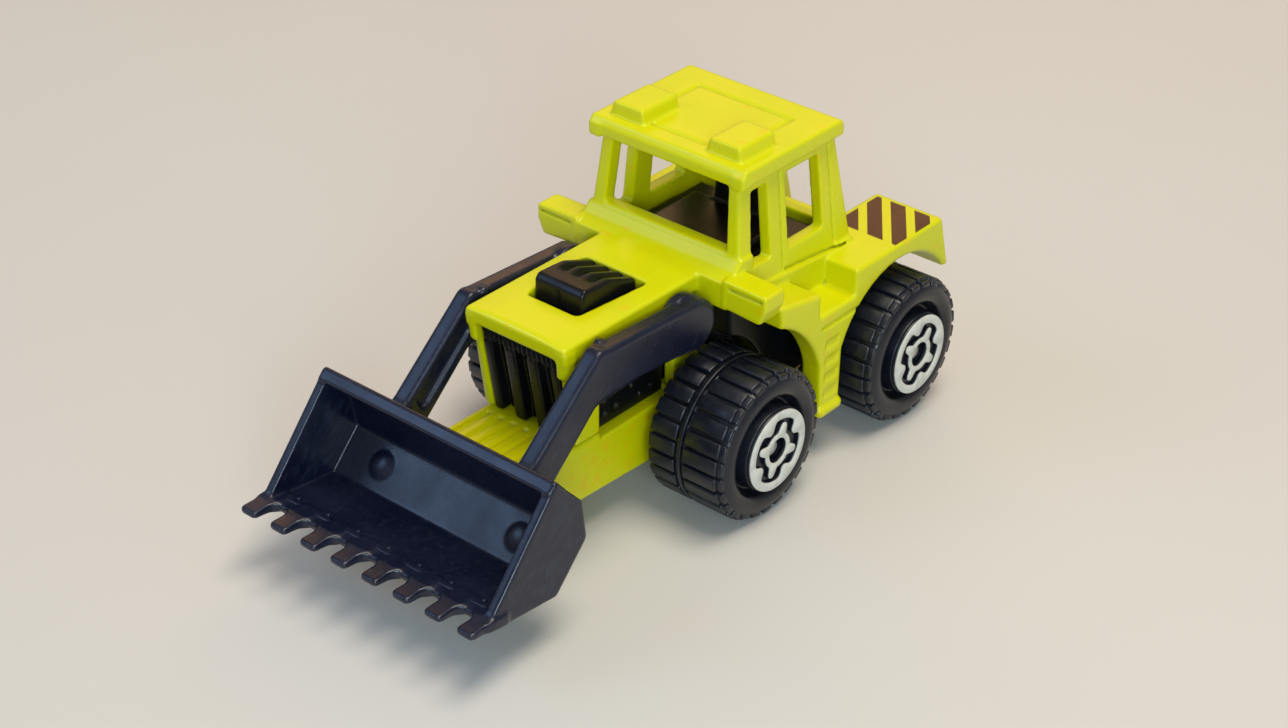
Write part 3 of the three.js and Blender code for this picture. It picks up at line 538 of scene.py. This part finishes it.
loader = cast("loader_moulding", loader_clay, 170000)
del loader_clay

# %% [markdown]
# Small marks repeat along the bucket's lip: between each pair of teeth there is a raised bead with a
# dot behind it. A Geometry Nodes tree copies one bead and dot along a line. Its count, start and
# pitch are named inputs, so another bucket could use the same tree.
# %% A tree that copies along a line, and one that copies round an axle
def tree(name, sizes):
    group = bpy.data.node_groups.new(name, "GeometryNodeTree")
    group.interface.new_socket("Geometry", in_out="INPUT", socket_type="NodeSocketGeometry")
    for label, kind in sizes:
        group.interface.new_socket(label, in_out="INPUT", socket_type="NodeSocket" + kind)
    group.interface.new_socket("Geometry", in_out="OUTPUT", socket_type="NodeSocketGeometry")
    enter, leave = group.nodes.new("NodeGroupInput"), group.nodes.new("NodeGroupOutput")
    return group, enter, leave


def finish_tree(group, enter, instances, leave):
    real = group.nodes.new("GeometryNodeRealizeInstances")
    paint = group.nodes.new("GeometryNodeSetMaterial")
    group.links.new(instances, real.inputs[0])
    group.links.new(real.outputs[0], paint.inputs["Geometry"])
    group.links.new(enter.outputs["Material"], paint.inputs["Material"])
    group.links.new(paint.outputs[0], leave.inputs[0])


def line_tree():
    sizes = [("Count", "Int"), ("Start", "Vector"), ("Pitch", "Vector"), ("Material", "Material")]
    group, enter, leave = tree("copies_in_a_row", sizes)
    row = group.nodes.new("GeometryNodeMeshLine")
    copies = group.nodes.new("GeometryNodeInstanceOnPoints")
    group.links.new(enter.outputs["Count"], row.inputs["Count"])
    group.links.new(enter.outputs["Start"], row.inputs["Start Location"])
    group.links.new(enter.outputs["Pitch"], row.inputs["Offset"])
    group.links.new(row.outputs[0], copies.inputs["Points"])
    group.links.new(enter.outputs["Geometry"], copies.inputs["Instance"])
    finish_tree(group, enter, copies.outputs[0], leave)
    return group


def ring_tree():
    group, enter, leave = tree("copies_round_an_axle", [("Count", "Int"), ("Material", "Material")])
    row = group.nodes.new("GeometryNodeMeshLine")
    copies = group.nodes.new("GeometryNodeInstanceOnPoints")
    index = group.nodes.new("GeometryNodeInputIndex")
    share, turn = group.nodes.new("ShaderNodeMath"), group.nodes.new("ShaderNodeMath")
    share.operation, turn.operation = "DIVIDE", "MULTIPLY"
    turn.inputs[1].default_value = 2 * math.pi
    angle = group.nodes.new("ShaderNodeCombineXYZ")
    row.inputs["Offset"].default_value = (0, 0, 0)
    group.links.new(enter.outputs["Count"], row.inputs["Count"])
    group.links.new(index.outputs[0], share.inputs[0])
    group.links.new(enter.outputs["Count"], share.inputs[1])
    group.links.new(share.outputs[0], turn.inputs[0])
    group.links.new(turn.outputs[0], angle.inputs["Y"])
    group.links.new(row.outputs[0], copies.inputs["Points"])
    group.links.new(enter.outputs["Geometry"], copies.inputs["Instance"])
    group.links.new(angle.outputs[0], copies.inputs["Rotation"])
    finish_tree(group, enter, copies.outputs[0], leave)
    return group


IN_A_ROW, ROUND_AN_AXLE = line_tree(), ring_tree()


def copies_of(mesh, group, name, **values):
    """The tree's result as a plain mesh in metres."""
    source = put(name, mesh)
    modifier = source.modifiers.new("copies", "NODES")
    modifier.node_group = group
    for item in group.interface.items_tree:
        if item.in_out == "INPUT" and item.name in values:
            modifier[item.identifier] = values[item.name]
    graph = bpy.context.evaluated_depsgraph_get()
    result = bpy.data.meshes.new_from_object(source.evaluated_get(graph))
    bpy.data.objects.remove(source)
    return result


def lumps(name, shapes, r=0.1):
    """Small rounded boxes, each given as (low, high) in millimetres, in one mesh."""
    bm = bmesh.new()
    for low, high in shapes:
        made = bmesh.ops.create_cube(bm, size=1)["verts"]
        for v in made:
            v.co = [(l + h) / 2 + c * (h - l) for l, h, c in zip(low, high, v.co)]
        edges = {e for v in made for e in v.link_edges}
        bmesh.ops.bevel(bm, geom=list(edges), offset=r, segments=2, profile=0.5, affect="EDGES")
    for v in bm.verts:
        v.co *= MM
    mesh = bpy.data.meshes.new(name)
    bm.to_mesh(mesh)
    bm.free()
    for p in mesh.polygons:
        p.use_smooth = True
    return mesh


# %% [markdown]
# Finishes share a few effects. Each effect is a small node group that gives out a mask or a height:
# a moulded skin with fine grain and broad mottling, rubbed edges with painted shade in the creases,
# and dust that settles on top.
# %% Shared effects
def effect(name, inputs, outputs):
    group = bpy.data.node_groups.new(name, "ShaderNodeTree")
    for label, value in inputs.items():
        socket = group.interface.new_socket(label, in_out="INPUT", socket_type="NodeSocketFloat")
        socket.default_value = value
    for label in outputs:
        group.interface.new_socket(label, in_out="OUTPUT", socket_type="NodeSocketFloat")
    return group, group.nodes.new("NodeGroupInput"), group.nodes.new("NodeGroupOutput")


def chain(group, kind, operation=None, **inputs):
    node = group.nodes.new(kind)
    if operation:
        node.operation = operation
    for key, value in inputs.items():
        numbered = key[0] == "i" and key[1:].isdigit()
        socket = node.inputs[int(key[1:]) if numbered else key.replace("_", " ")]
        if isinstance(value, bpy.types.NodeSocket):
            group.links.new(value, socket)
        else:
            socket.default_value = value
    return node


def moulded_skin():
    g, enter, leave = effect("moulded_skin", {"Grain Scale": 9000, "Mottle Scale": 260}, ["Height", "Mottle"])
    place = g.nodes.new("ShaderNodeTexCoord").outputs["Object"]
    grain = chain(g, "ShaderNodeTexNoise", Vector=place, Scale=enter.outputs["Grain Scale"], Detail=3.0)
    broad = chain(g, "ShaderNodeTexNoise", Vector=place, Scale=enter.outputs["Mottle Scale"], Detail=4.0)
    height = chain(g, "ShaderNodeMath", "MULTIPLY_ADD", i0=broad.outputs[0], i1=0.8, i2=grain.outputs[0])
    g.links.new(height.outputs[0], leave.inputs["Height"])
    g.links.new(broad.outputs[0], leave.inputs["Mottle"])
    return g


def rubbed_edges_and_crease_shade():
    g, enter, leave = effect("rubbed_edges_and_crease_shade", {"Amount": 1.0, "Patch Scale": 700}, ["Edges", "Crease Shade"])
    point = g.nodes.new("ShaderNodeNewGeometry").outputs["Pointiness"]
    place = g.nodes.new("ShaderNodeTexCoord").outputs["Object"]
    patch = chain(g, "ShaderNodeTexNoise", Vector=place, Scale=enter.outputs["Patch Scale"], Detail=3.0)
    high = chain(g, "ShaderNodeMapRange", Value=point, From_Min=0.53, From_Max=0.62)
    # The concave mask below is painted shade: it darkens the creases where shade would fall.
    low = chain(g, "ShaderNodeMapRange", Value=point, From_Min=0.47, From_Max=0.40)
    broken = chain(g, "ShaderNodeMath", "MULTIPLY", i0=high.outputs[0], i1=patch.outputs[0])
    edges = chain(g, "ShaderNodeMath", "MULTIPLY", i0=broken.outputs[0], i1=enter.outputs["Amount"])
    crease_shade = chain(g, "ShaderNodeMath", "MULTIPLY", i0=low.outputs[0], i1=enter.outputs["Amount"])
    g.links.new(edges.outputs[0], leave.inputs["Edges"])
    g.links.new(crease_shade.outputs[0], leave.inputs["Crease Shade"])
    return g


def settled_dust():
    g, enter, leave = effect("settled_dust", {"Amount": 0.2, "Speck Scale": 1500}, ["Dust"])
    up = g.nodes.new("ShaderNodeSeparateXYZ")
    g.links.new(g.nodes.new("ShaderNodeNewGeometry").outputs["Normal"], up.inputs[0])
    place = g.nodes.new("ShaderNodeTexCoord").outputs["Object"]
    speck = chain(g, "ShaderNodeTexNoise", Vector=place, Scale=enter.outputs["Speck Scale"], Detail=5.0)
    spots = chain(g, "ShaderNodeMapRange", Value=speck.outputs[0], From_Min=0.52, From_Max=0.75)
    top = chain(g, "ShaderNodeMapRange", Value=up.outputs[2], From_Min=0.2, From_Max=0.9)
    dust = chain(g, "ShaderNodeMath", "MULTIPLY", i0=spots.outputs[0], i1=top.outputs[0])
    dust = chain(g, "ShaderNodeMath", "MULTIPLY", i0=dust.outputs[0], i1=enter.outputs["Amount"])
    g.links.new(dust.outputs[0], leave.inputs["Dust"])
    return g


SKIN, EDGES, DUST = moulded_skin(), rubbed_edges_and_crease_shade(), settled_dust()


# %% [markdown]
# A finish is a Principled shader whose colour is mixed in steps: the plain colour, a mottled
# variation, the rubbed edges, painted shade that darkens the creases, and the dust. Roughness varies
# with the mottling, and the grain gives a slight bump.
# %% Finishes
DUST_TINT = (0.45, 0.42, 0.36)
BUMP_DEPTH = 0.00006  # in metres


def tinted(shader_tree, below, above, share):
    mix = shader_tree.nodes.new("ShaderNodeMix")
    mix.data_type = "RGBA"
    for socket, value in ((mix.inputs[6], below), (mix.inputs[7], above)):
        if isinstance(value, bpy.types.NodeSocket):
            shader_tree.links.new(value, socket)
        else:
            socket.default_value = (*value, 1)
    shader_tree.links.new(share, mix.inputs[0])
    return mix.outputs[2]


def finish(name, plain, mottled, edge, crease_shade_colour, rough, bump, grain=9000, mottle=260, dust=0.1, wear_and_crease_shade=0.6,
           metal=0.0, coat=0.0, sheen=0.5):
    material = bpy.data.materials.new(name)
    material.use_nodes = True
    nt = material.node_tree
    shader = nt.nodes["Principled BSDF"]
    groups = []
    for group, values in ((SKIN, (grain, mottle)), (EDGES, (wear_and_crease_shade, 700)), (DUST, (dust, 1500))):
        node = nt.nodes.new("ShaderNodeGroup")
        node.node_tree = group
        for socket, value in zip(node.inputs, values):
            socket.default_value = value
        groups.append(node)
    skin, edges, dirt = groups
    patches = chain(nt, "ShaderNodeMapRange", Value=skin.outputs["Mottle"], From_Min=0.35, From_Max=0.68)
    colour = tinted(nt, plain, mottled, patches.outputs[0])
    colour = tinted(nt, colour, edge, edges.outputs["Edges"])
    # Painted shade: the crease colour darkens every concave crease.
    colour = tinted(nt, colour, crease_shade_colour, edges.outputs["Crease Shade"])
    colour = tinted(nt, colour, DUST_TINT, dirt.outputs["Dust"])
    nt.links.new(colour, shader.inputs["Base Color"])
    gloss = chain(nt, "ShaderNodeMapRange", Value=skin.outputs["Mottle"], From_Min=0.3, From_Max=0.7,
                  To_Min=rough[0], To_Max=rough[1])
    nt.links.new(gloss.outputs[0], shader.inputs["Roughness"])
    height = nt.nodes.new("ShaderNodeBump")
    height.inputs["Strength"].default_value = bump
    height.inputs["Distance"].default_value = BUMP_DEPTH
    nt.links.new(skin.outputs["Height"], height.inputs["Height"])
    nt.links.new(height.outputs[0], shader.inputs["Normal"])
    shader.inputs["Metallic"].default_value = metal
    shader.inputs["Coat Weight"].default_value = coat
    shader.inputs["Specular IOR Level"].default_value = sheen
    shader.inputs["Coat Roughness"].default_value = 0.06
    return material


# The fourth colour in each finish below is painted shade for the concave creases.
yellow = finish("lemon_gloss_paint", (0.64, 0.62, 0.0), (0.60, 0.62, 0.0), (0.74, 0.48, 0.002),
                (0.20, 0.22, 0.002), (0.26, 0.36), 0.14, grain=2600, mottle=150, dust=0.0, wear_and_crease_shade=0.9,
                coat=0.05, sheen=0.38)
loader_black = finish("loader_plastic", (0.0034, 0.0054, 0.0180), (0.0048, 0.0075, 0.0240),
                      (0.024, 0.032, 0.062), (0.002, 0.002, 0.005), (0.24, 0.38), 0.16,
                      grain=5200, dust=0.02, wear_and_crease_shade=0.6)
inside_black = finish("interior_plastic", (0.0030, 0.0032, 0.0042), (0.0045, 0.0045, 0.006),
                      (0.014, 0.014, 0.018), (0.001, 0.001, 0.001), (0.26, 0.4), 0.16,
                      dust=0.01, wear_and_crease_shade=0.3, sheen=0.28)
wheel_black = finish("wheel_plastic", (0.0036, 0.0046, 0.0095), (0.0052, 0.0066, 0.0130),
                     (0.018, 0.024, 0.040), (0.002, 0.002, 0.003), (0.26, 0.42), 0.18,
                     grain=4200, dust=0.025, wear_and_crease_shade=0.5)
hub_white = finish("hub_print", (0.60, 0.60, 0.53), (0.67, 0.665, 0.60), (0.36, 0.35, 0.31),
                   (0.15, 0.15, 0.13), (0.42, 0.6), 0.25, grain=7000, mottle=900, dust=0.0, wear_and_crease_shade=0.8)
steel = finish("axle_steel", (0.56, 0.555, 0.54), (0.64, 0.635, 0.62), (0.6, 0.6, 0.58), (0.08, 0.07, 0.06),
               (0.42, 0.56), 0.2, grain=6000, mottle=800, dust=0.0, wear_and_crease_shade=0.4, metal=0.8)
floor_finish = finish("pale_floor", (0.60, 0.58, 0.54), (0.58, 0.56, 0.52), (0.60, 0.58, 0.54),
                      (0.60, 0.58, 0.54), (0.6, 0.7), 0.02, grain=900, mottle=9, dust=0.0, wear_and_crease_shade=0.0)
floor.data.materials.append(floor_finish)

# %% [markdown]
# Slanting warning bands are printed on the flat tops of the rear fenders. They are part of the
# paint's colour: a saw-tooth of the position across the fender, kept to faces that look up, inside
# the printed rectangle. The two sides mirror each other, because the position uses the distance
# from the middle of the toy.
# %% Warning bands on the fenders
BAND_PITCH = 0.00304  # in metres, across the fender
BAND_SLANT = -0.74
BAND_START = -8.98  # in pitches
BAND_MIDDLE = 0.318  # in shares of a pitch, as is the next
BAND_EDGES = (0.328, 0.308)
BAND_BROWN = (0.040, 0.003, 0.0015)


def warning_bands(material):
    nt = material.node_tree
    shader = nt.nodes["Principled BSDF"]
    below = shader.inputs["Base Color"].links[0].from_socket
    split = chain(nt, "ShaderNodeSeparateXYZ", i0=nt.nodes.new("ShaderNodeTexCoord").outputs["Object"])
    facing = chain(nt, "ShaderNodeSeparateXYZ", i0=nt.nodes.new("ShaderNodeNewGeometry").outputs["Normal"])
    x, z = split.outputs[0], split.outputs[2]
    y = chain(nt, "ShaderNodeMath", "ABSOLUTE", i0=split.outputs[1]).outputs[0]
    slope = chain(nt, "ShaderNodeMath", "MULTIPLY_ADD", i0=x, i1=BAND_SLANT, i2=y).outputs[0]
    turns = chain(nt, "ShaderNodeMath", "MULTIPLY_ADD", i0=slope, i1=1 / BAND_PITCH, i2=BAND_START).outputs[0]
    saw = chain(nt, "ShaderNodeMath", "FRACT", i0=turns).outputs[0]
    middle = chain(nt, "ShaderNodeMath", "SUBTRACT", i0=saw, i1=BAND_MIDDLE).outputs[0]
    away = chain(nt, "ShaderNodeMath", "ABSOLUTE", i0=middle).outputs[0]
    bare, brown = BAND_EDGES
    mask = chain(nt, "ShaderNodeMapRange", Value=away, From_Min=bare, From_Max=brown).outputs[0]
    # Each row fades the bands in, from nothing at the first number to full at the second.
    limits = ((x, -0.0265, -0.0267), (x, -0.0341, -0.0339), (y, 0.0065, 0.0067), (y, 0.01425, 0.01405),
              (z, 0.0190, 0.0193), (z, 0.0203, 0.0200), (facing.outputs[2], 0.86, 0.93))
    for value, none, full in limits:
        edge = chain(nt, "ShaderNodeMapRange", Value=value, From_Min=none, From_Max=full).outputs[0]
        mask = chain(nt, "ShaderNodeMath", "MULTIPLY", i0=mask, i1=edge).outputs[0]
    nt.links.new(tinted(nt, below, BAND_BROWN, mask), shader.inputs["Base Color"])


warning_bands(yellow)

# %% [markdown]
# Each wheel is one moulding: a tyre with a rounded shoulder, a deep ring round the hub and a proud
# hub boss. Its profile is turned round the axle in mesh code. The tread is two rows of lugs on
# either side of a rib, copied round the axle by the ring tree from one bevelled lug of each row.
# %% Wheels
def turn(profile, sides=96):
    """A closed profile of (radius, y) turned about the Y axis, as vertices in mm and faces."""
    ring = len(profile)
    angles = np.linspace(0, 2 * math.pi, sides, endpoint=False)
    verts = [(r * math.sin(a), y, r * math.cos(a)) for a in angles for r, y in profile]
    faces = []
    for s in range(sides):
        t = (s + 1) % sides
        for i in range(ring):
            j = (i + 1) % ring
            faces.append((s * ring + i, s * ring + j, t * ring + j, t * ring + i))
    return verts, faces


def built(name, verts, faces):
    """A mesh in metres, with its doubles merged and its faces outward."""
    mesh = bpy.data.meshes.new(name)
    mesh.from_pydata([[c * MM for c in v] for v in verts], [], faces)
    bm = bmesh.new()
    bm.from_mesh(mesh)
    bmesh.ops.remove_doubles(bm, verts=bm.verts, dist=1e-7)
    bmesh.ops.recalc_face_normals(bm, faces=bm.faces)
    bm.to_mesh(mesh)
    bm.free()
    for p in mesh.polygons:
        p.use_smooth = True
    return mesh


def turned(name, profile, r, sides=96, shift=(0, 0, 0)):
    corners = soften(profile, r, 4)
    verts, faces = turn(corners, sides)
    return built(name, [tuple(np.array(v) + shift) for v in verts], faces)


def joined(name, meshes):
    bm = bmesh.new()
    for mesh in meshes:
        bm.from_mesh(mesh)
    mesh = bpy.data.meshes.new(name)
    bm.to_mesh(mesh)
    bm.free()
    for p in mesh.polygons:
        p.use_smooth = True
    return mesh


wheel_profile = [(0.86, 8.0), (2.3, 8.0), (2.6, 10.4), (5.1, 10.4), (5.7, 7.5), (7.05, 7.5, 0.3),
                 (7.5, 7.9, 0.2), (7.5, 11.15, 0.1), (7.87, 11.25, 0.12), (7.87, 11.65, 0.12),
                 (7.5, 11.75, 0.1), (7.5, 15.6, 0.6), (7.25, 16.6, 0.7), (6.4, 17.0, 1.2), (5.4, 16.8, 0.8),
                 (4.9, 15.4, 0.4), (4.6, 15.3, 0.3), (4.42, 16.9, 0.2), (4.4, 17.15, 0.15),
                 (1.35, 17.1, 0.1), (1.35, 15.9, 0.1), (0.86, 15.9, 0.05)]
wheel_turned = turned("wheel_turned", wheel_profile, 0.15, 120)
lug_boxes = [((-0.74, 7.75, 7.0), (0.74, 10.95, 7.9)), ((-0.74, 11.95, 7.0), (0.74, 16.1, 7.9)),
             ((-0.68, 15.2, 6.9), (0.68, 16.65, 7.6))]
lug_pair = lumps("lug_pair", lug_boxes, 0.16)
lugs = copies_of(lug_pair, ROUND_AN_AXLE, "lugs", Count=26, Material=wheel_black)


def lobes(turned_by, where, reach, width):
    """How far a ring's edge is pushed in or out at an angle, by four rounded lobes."""
    gap = (where - turned_by + math.pi / 4) % (math.pi / 2) - math.pi / 4
    return reach * math.exp(-abs(gap / width) ** 3.2)


HUB_RADII = (3.42, 4.3, 1.34, 1.88)  # of the outer ring and then the inner one
LOBE_REACH, LOBE_WIDTH = (0.92, 1.06), (0.23, 0.22)
HUB_ROUND = 0.04


def print_ring(name, turned_by, low, high, grow):
    """The hub's two printed rings, whose lobes reach between each other, as closed plates."""
    sides, verts, faces = 144, [], []
    for ring in (0, 1):
        first = len(verts)
        for s in range(sides):
            a = 2 * math.pi * s / sides
            if ring == 0:
                lobe = lobes(turned_by + math.pi / 4, a, LOBE_REACH[0], LOBE_WIDTH[0])
                inner, outer = HUB_RADII[0] - lobe - grow, HUB_RADII[1] + grow
            else:
                lobe = lobes(turned_by, a, LOBE_REACH[1], LOBE_WIDTH[1])
                inner, outer = HUB_RADII[2] - 0.2 * grow, HUB_RADII[3] + lobe + grow
            for r, y in ((inner, low), (outer, low), (outer, high - HUB_ROUND), (outer - HUB_ROUND, high),
                         (inner + HUB_ROUND, high), (inner, high - HUB_ROUND)):
                verts.append((r * math.sin(a), y, r * math.cos(a)))
        for s in range(sides):
            t = (s + 1) % sides
            for i in range(6):
                j = (i + 1) % 6
                faces.append((first + s * 6 + i, first + s * 6 + j, first + t * 6 + j, first + t * 6 + i))
    return built(name, verts, faces)


pieces = []
for end, x, turned_by in (("front", FRONT_X, -20), ("rear", REAR_X, -35)):
    for side, sign in (("left", 1), ("right", -1)):
        angle = math.radians(turned_by)
        raised = print_ring("hub_raised", angle, 16.9, 17.46, 0.05)
        corner = end + "_" + side
        tyre = joined("tyre_" + corner, [wheel_turned, lugs, raised])
        cap = print_ring("cap_" + corner, angle, 17.43, 17.6, 0.0)
        for mesh, finish_used, slot, node in ((tyre, wheel_black, "wheel_plastic", "wheel_"),
                                              (cap, hub_white, "hub_print", "hub_face_")):
            place = np.array([x, 0, AXLE_Z]) * MM
            for v in mesh.vertices:
                v.co = (v.co.x + place[0], v.co.y * sign, v.co.z + place[2])
            if sign < 0:
                mesh.flip_normals()
            mesh.materials.clear()
            mesh.materials.append(finish_used)
            pieces.append((put(mesh.name, mesh), corner + "_wheel", slot, [node + corner]))
print("wheel faces:", len(pieces[0][0].data.polygons))

# %% [markdown]
# The axles are thin steel pins with a domed head sunk in each hub. The two body posts end in peened
# rivet heads under the base. Both are turned from short profiles.
# %% Axles, rivets and the marks in the bucket
pin_end = [(0.75, 16.15, 0.05), (1.1, 16.2, 0.08), (1.1, 16.5, 0.25), (0.75, 16.9, 0.4), (0, 17.05)]
pin_profile = [(r, -y, *rest) for r, y, *rest in reversed(pin_end)] + pin_end
for end, x in (("front", FRONT_X), ("rear", REAR_X)):
    mesh = turned("axle_pin_" + end, pin_profile, 0.01, 40, (x, 0, AXLE_Z))
    mesh.materials.append(steel)
    pieces.append((put(mesh.name, mesh), end + "_axle", "steel", [end + "_axle"]))
post_profile = [(0, 4.35), (1.1, 4.4, 0.4), (1.65, 4.75, 0.3), (1.7, 5.2, 0.1), (1.2, 5.25, 0.1),
                (1.2, 8.0, 0.05), (0, 8.0)]
for end, x in (("front", POST_X[0]), ("rear", POST_X[1])):
    mesh = turned("post_head_" + end, post_profile, 0.05, 40)
    for v in mesh.vertices:
        v.co = (v.co.x + x * MM, v.co.z, v.co.y)
    mesh.flip_normals()
    mesh.materials.append(steel)
    pieces.append((put(mesh.name, mesh), "chassis", "steel", ["rivet_" + end]))
bead_and_dot = [((-0.17, -1.05, -0.2), (0.17, 1.05, 0.2)), ((-1.0, -0.2, -0.3), (-0.6, 0.2, 0.14))]
bead = lumps("bead", bead_and_dot, 0.1)
marks = copies_of(bead, IN_A_ROW, "marks", Count=7, Start=(0.03245, -0.012, 0.00712), Pitch=(0, 0.004, 0),
                  Material=loader_black)
marks.name = "bucket_marks"
marks.materials.clear()
marks.materials.append(loader_black)
pieces.append((put("bucket_marks", marks), "loader", "loader_plastic", []))

# %% [markdown]
# Last, each piece is tied to the body it moves with, and stands for the measured solids it covers.
# %% Everything rides on its body
for piece, finish_used, body_name, slot, nodes in (
    (body_casting, yellow, "chassis", "paint",
     ["bonnet", "cowl", "cab_frame", "roof", "fender_left", "fender_right", "rear_deck"]),
    (base_casting, yellow, "chassis", "paint", ["base_casting"]),
    (interior, inside_black, "chassis", "interior_plastic",
     ["cab_floor", "seat", "engine_block", "grille", "air_intake"]),
    (loader, loader_black, "loader", "loader_plastic", ["arm_left", "arm_right", "bucket"]),
):
    piece.data.materials.clear()
    piece.data.materials.append(finish_used)
    pieces.append((piece, body_name, slot, nodes))
for piece, body_name, slot, nodes in pieces:
    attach(piece, body_name)
    if nodes:
        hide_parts(*nodes)
